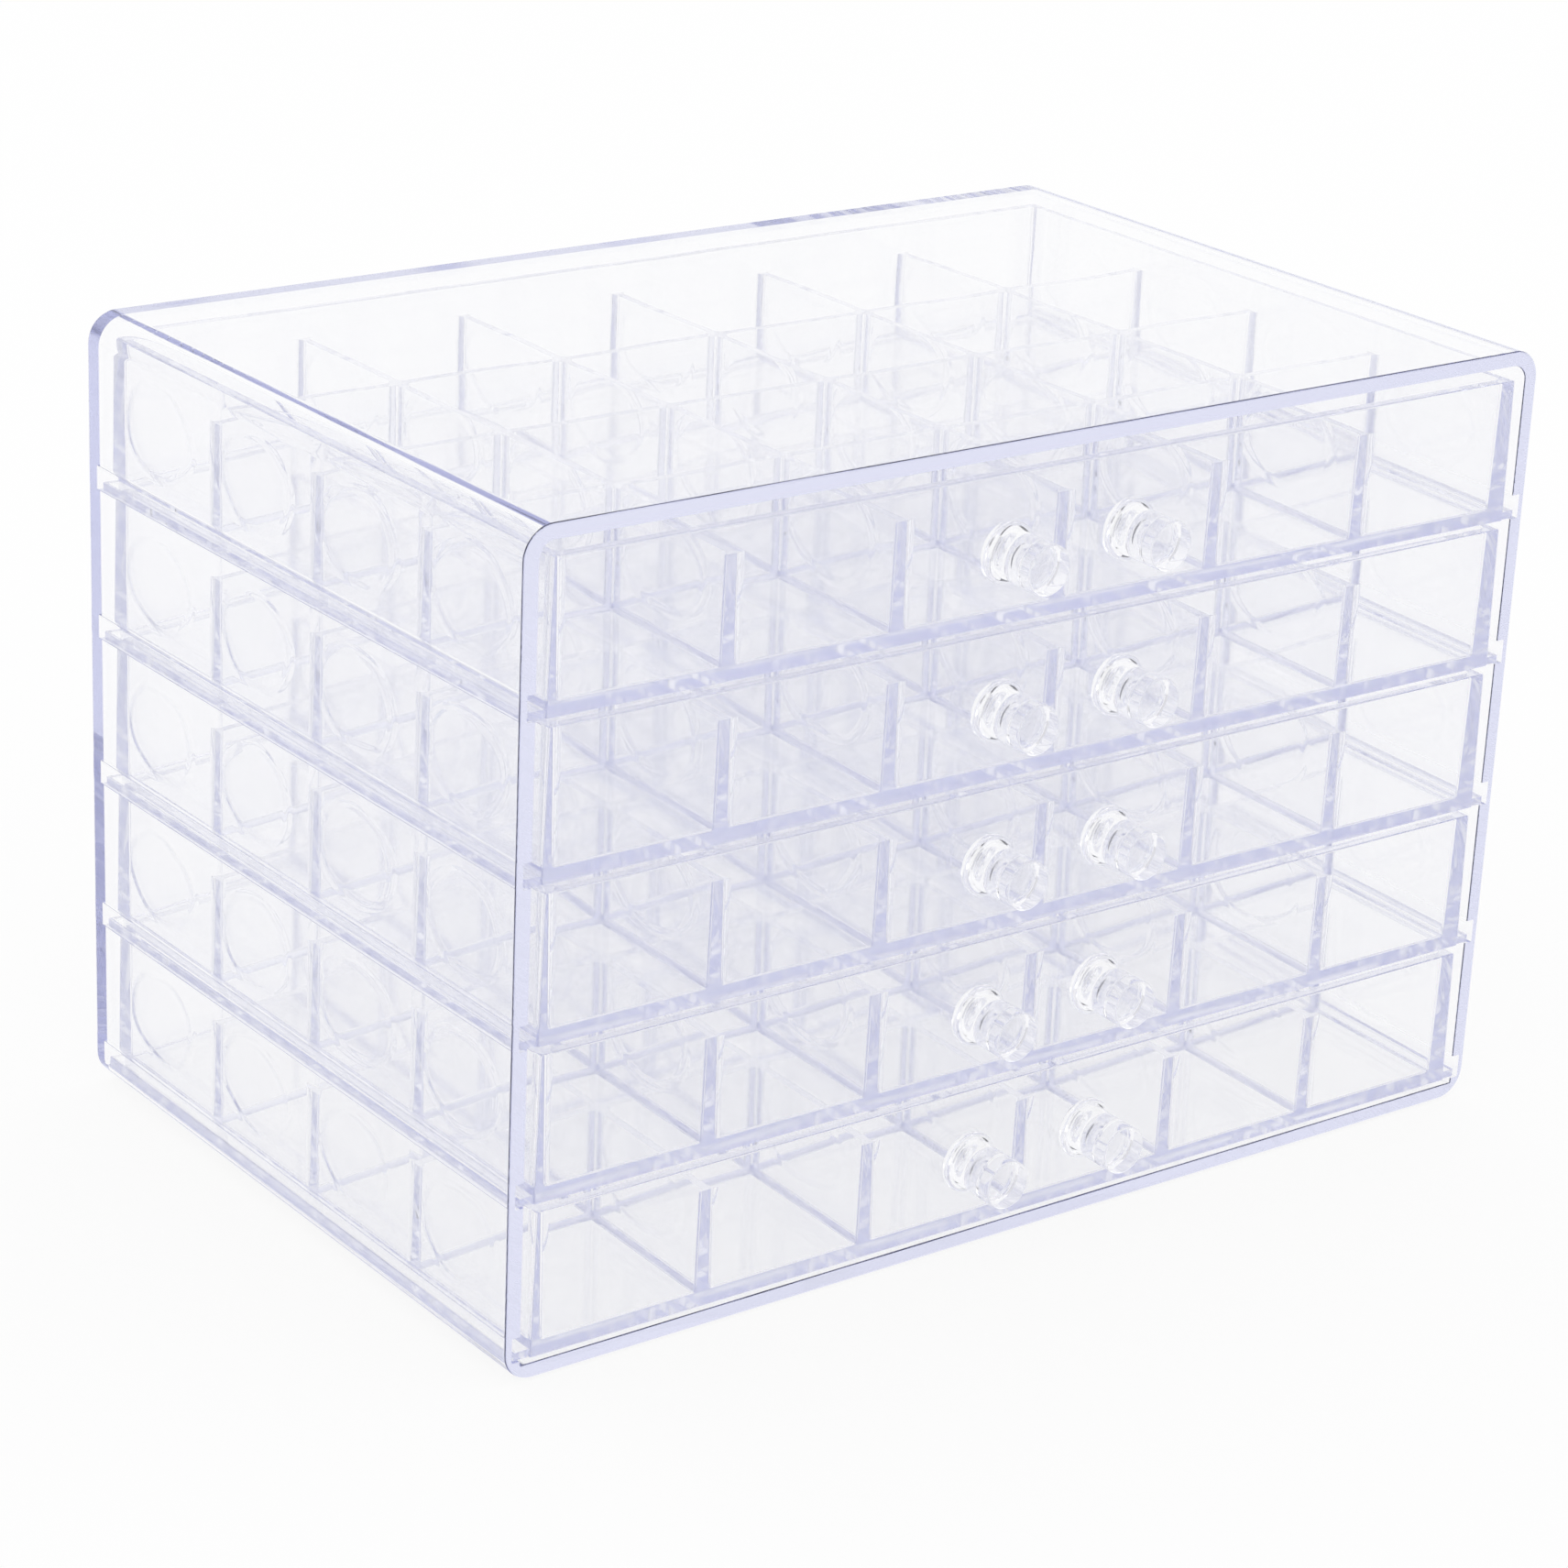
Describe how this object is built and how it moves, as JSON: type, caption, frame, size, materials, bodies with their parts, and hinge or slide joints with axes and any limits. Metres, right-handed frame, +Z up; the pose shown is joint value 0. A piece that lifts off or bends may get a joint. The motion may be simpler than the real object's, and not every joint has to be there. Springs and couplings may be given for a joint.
{
  "type": "drawer organizer",
  "caption": "Clear plastic countertop organizer: an open-fronted case with stacked slide-out drawers, each divided into small cells and pulled by a pair of round knobs.",
  "frame": {"origin": "centre of the case's underside, on the surface that it stands on", "axes": "+Z up, +X to the right along the front, and the drawers pull out towards -Y"},
  "size_m": [0.235, 0.1623, 0.159],
  "materials": {
    "case_clear": "clear, polished, faint blue-violet through its edges",
    "tray_clear": "clear, polished moulding",
    "knob_clear": "clear, polished"
  },
  "bodies": {
    "case": {"case": "case_clear"},
    "drawer_1": {"drawer_1_floor": "tray_clear", "drawer_1_front": "tray_clear", "drawer_1_rear": "tray_clear", "drawer_1_side_left": "tray_clear", "drawer_1_side_right": "tray_clear", "drawer_1_column_dividers": "tray_clear", "drawer_1_row_dividers": "tray_clear", "drawer_1_knob_left": "knob_clear", "drawer_1_knob_right": "knob_clear"},
    "drawer_2": {"drawer_2_floor": "tray_clear", "drawer_2_front": "tray_clear", "drawer_2_rear": "tray_clear", "drawer_2_side_left": "tray_clear", "drawer_2_side_right": "tray_clear", "drawer_2_column_dividers": "tray_clear", "drawer_2_row_dividers": "tray_clear", "drawer_2_knob_left": "knob_clear", "drawer_2_knob_right": "knob_clear"},
    "drawer_3": {"drawer_3_floor": "tray_clear", "drawer_3_front": "tray_clear", "drawer_3_rear": "tray_clear", "drawer_3_side_left": "tray_clear", "drawer_3_side_right": "tray_clear", "drawer_3_column_dividers": "tray_clear", "drawer_3_row_dividers": "tray_clear", "drawer_3_knob_left": "knob_clear", "drawer_3_knob_right": "knob_clear"},
    "drawer_4": {"drawer_4_floor": "tray_clear", "drawer_4_front": "tray_clear", "drawer_4_rear": "tray_clear", "drawer_4_side_left": "tray_clear", "drawer_4_side_right": "tray_clear", "drawer_4_column_dividers": "tray_clear", "drawer_4_row_dividers": "tray_clear", "drawer_4_knob_left": "knob_clear", "drawer_4_knob_right": "knob_clear"},
    "drawer_5": {"drawer_5_floor": "tray_clear", "drawer_5_front": "tray_clear", "drawer_5_rear": "tray_clear", "drawer_5_side_left": "tray_clear", "drawer_5_side_right": "tray_clear", "drawer_5_column_dividers": "tray_clear", "drawer_5_row_dividers": "tray_clear", "drawer_5_knob_left": "knob_clear", "drawer_5_knob_right": "knob_clear"}
  },
  "joints": [
    {"name": "drawer_1_slide", "type": "slide", "parent": "case", "child": "drawer_1", "axis": [0, -1, 0], "range_m": [0, 0.12]},
    {"name": "drawer_2_slide", "type": "slide", "parent": "case", "child": "drawer_2", "axis": [0, -1, 0], "range_m": [0, 0.12]},
    {"name": "drawer_3_slide", "type": "slide", "parent": "case", "child": "drawer_3", "axis": [0, -1, 0], "range_m": [0, 0.12]},
    {"name": "drawer_4_slide", "type": "slide", "parent": "case", "child": "drawer_4", "axis": [0, -1, 0], "range_m": [0, 0.12]},
    {"name": "drawer_5_slide", "type": "slide", "parent": "case", "child": "drawer_5", "axis": [0, -1, 0], "range_m": [0, 0.12]}
  ]
}
